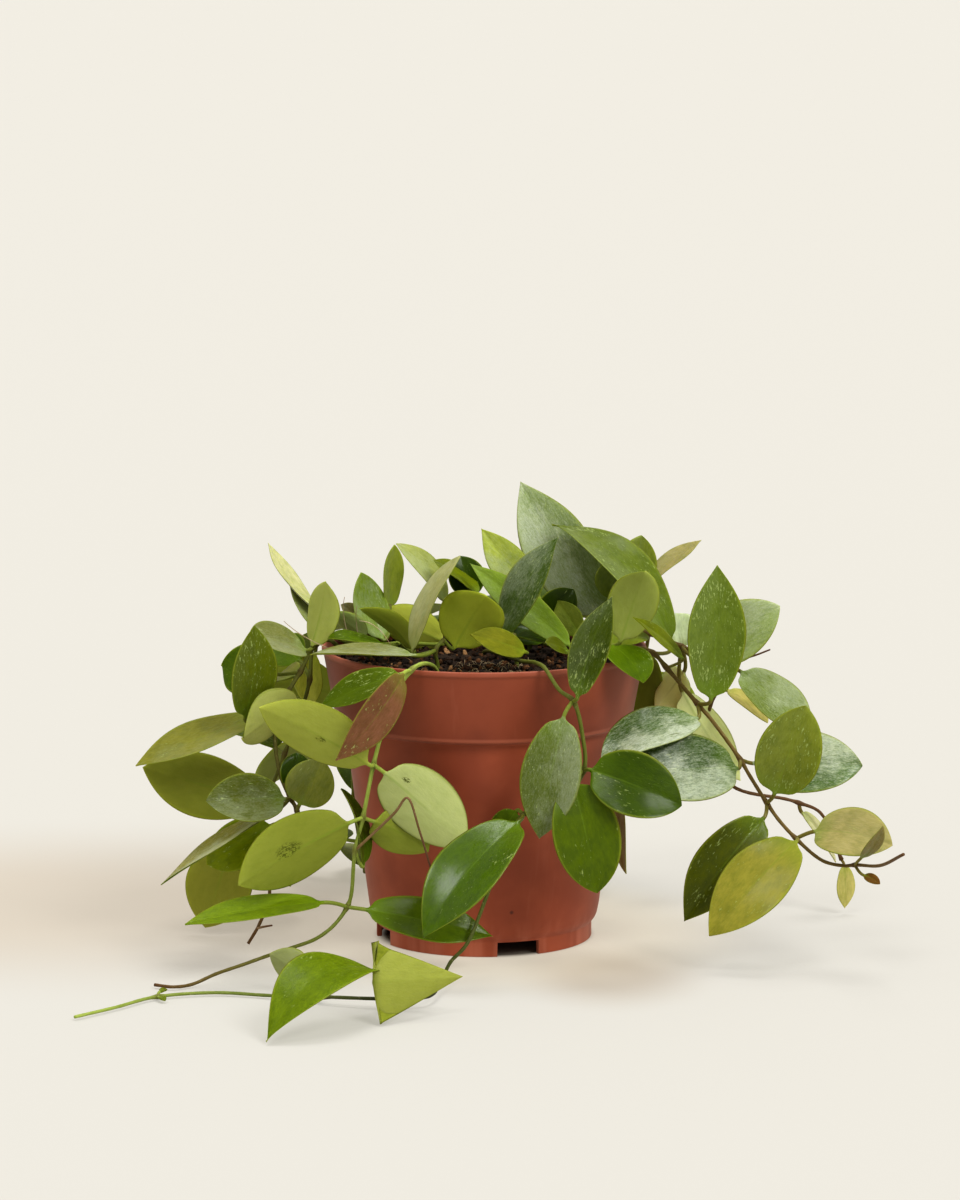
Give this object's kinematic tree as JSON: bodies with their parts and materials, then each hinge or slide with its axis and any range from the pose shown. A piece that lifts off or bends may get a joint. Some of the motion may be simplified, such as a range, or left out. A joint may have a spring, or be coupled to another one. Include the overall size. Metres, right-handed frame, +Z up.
{
  "type": "potted hoya plant",
  "caption": "Trailing hoya plant with thick oval leaves, spilling over a round tapered nursery pot onto the table.",
  "frame": {"origin": "on the table, under the middle of the plant's bounding box, which is within 2.5 mm of the pot's axis", "axes": "+Z up along the pot's axis, -Y towards the front, +Y along the longest trailing spread"},
  "size_m": [0.29, 0.3527, 0.1654],
  "materials": {
    "pot": "matt terracotta colour",
    "soil": "dark, crumbly",
    "foliage": "waxy, flecked with silver"
  },
  "bodies": {
    "root": {"pot": "pot", "soil": "soil", "vine_front_left": "foliage", "vine_front_right": "foliage", "vine_right": "foliage", "vine_back_right": "foliage", "vine_left": "foliage", "vine_left_back": "foliage", "crown_left": "foliage", "crown_front": "foliage", "crown_middle_front": "foliage", "crown_middle_left": "foliage", "crown_middle_right": "foliage", "crown_right": "foliage", "crown_right_front": "foliage", "vine_back": "foliage", "vine_back_left": "foliage", "vine_back_low": "foliage"}
  },
  "joints": []
}
